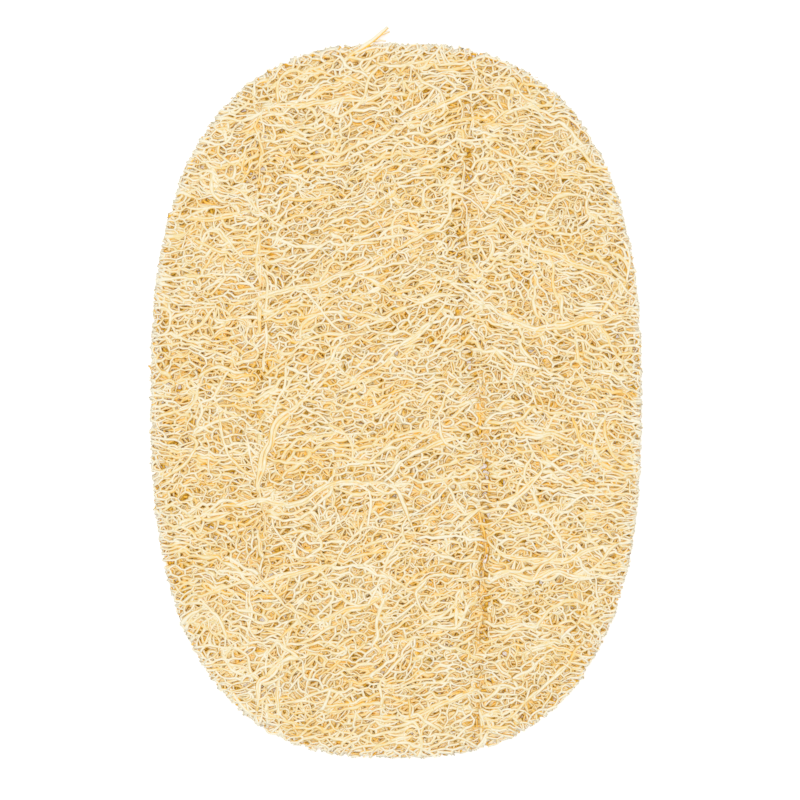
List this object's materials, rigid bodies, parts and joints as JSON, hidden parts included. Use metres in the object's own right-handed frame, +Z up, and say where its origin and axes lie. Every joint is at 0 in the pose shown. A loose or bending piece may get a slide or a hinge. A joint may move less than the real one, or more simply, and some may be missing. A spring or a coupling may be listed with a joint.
{
  "type": "natural loofah sponge",
  "caption": "Flat oval loofah pad: a dry, springy net of fine gourd fibres with fibre ridges across its outer face, for scrubbing skin or dishes.",
  "frame": {"origin": "centre of the pad's bounds, on the surface that it lies on", "axes": "+Y along the gourd, which is the pad's long way, +X across it, +Z up out of the outer face"},
  "size_m": [0.1045, 0.1537, 0.0055],
  "materials": {
    "loofah_fibre": "dry plant fibre, pale straw on the strands and golden in the depth of the net, matt with a faint waxy sheen"
  },
  "bodies": {
    "root": {"loofah_pad": "loofah_fibre"}
  },
  "joints": []
}
